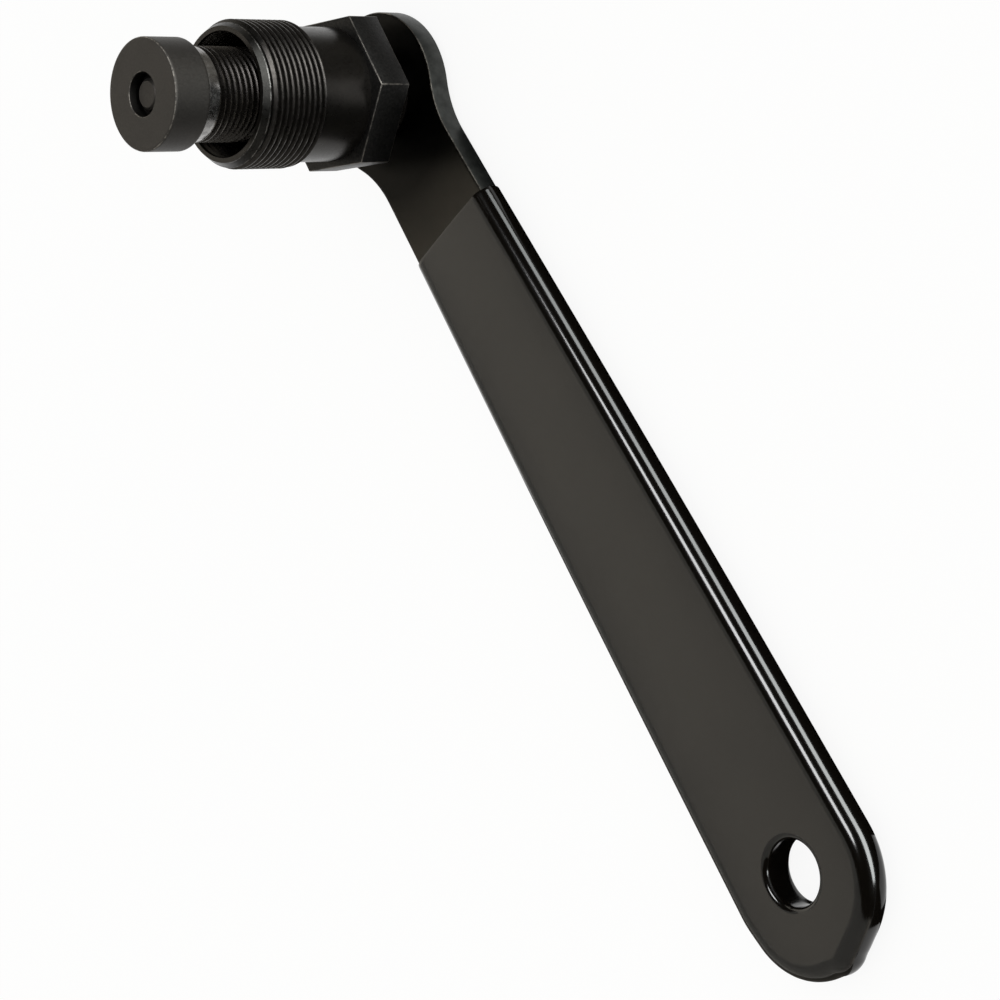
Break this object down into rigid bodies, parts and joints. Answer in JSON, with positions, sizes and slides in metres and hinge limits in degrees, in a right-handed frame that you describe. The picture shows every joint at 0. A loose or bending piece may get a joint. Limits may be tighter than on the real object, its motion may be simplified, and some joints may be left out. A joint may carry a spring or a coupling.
{
  "type": "crank puller",
  "caption": "Bicycle crank puller: a dipped lever turns a forcing screw through a threaded hexagon body, and a swivel tip pushes the axle.",
  "frame": {"origin": "spindle axis at the flat back of the riveted spindle end, in the plane that the tool lies on", "axes": "+Z along the spindle from the lever to the tip, +X along the handle to the hanging hole"},
  "size_m": [0.1652, 0.0274, 0.0483],
  "materials": {
    "blackened_steel_lever": "satin",
    "dipped_vinyl": "gloss",
    "blackened_steel_screw": "satin",
    "blackened_steel_body": "satin",
    "blackened_steel_tip": "matte"
  },
  "bodies": {
    "handle": {"handle_bar": "blackened_steel_lever", "grip": "dipped_vinyl", "spindle": "blackened_steel_screw"},
    "swivel_tip": {"swivel_tip": "blackened_steel_tip"},
    "puller_body": {"puller_body": "blackened_steel_body"}
  },
  "joints": [
    {"name": "spindle_turn", "type": "hinge", "parent": "handle", "child": "swivel_tip", "pos_m": [0, 0, 0.04445], "axis": [0, 0, 1], "range_deg": [-1260, 5400]},
    {"name": "body_travel", "type": "slide", "parent": "swivel_tip", "child": "puller_body", "axis": [0, 0, 1], "range_m": [-0.0035, 0.015]}
  ],
  "couplings": [
    {"joint": "body_travel", "follows": "spindle_turn", "m_per_rad": 0.00015915}
  ]
}
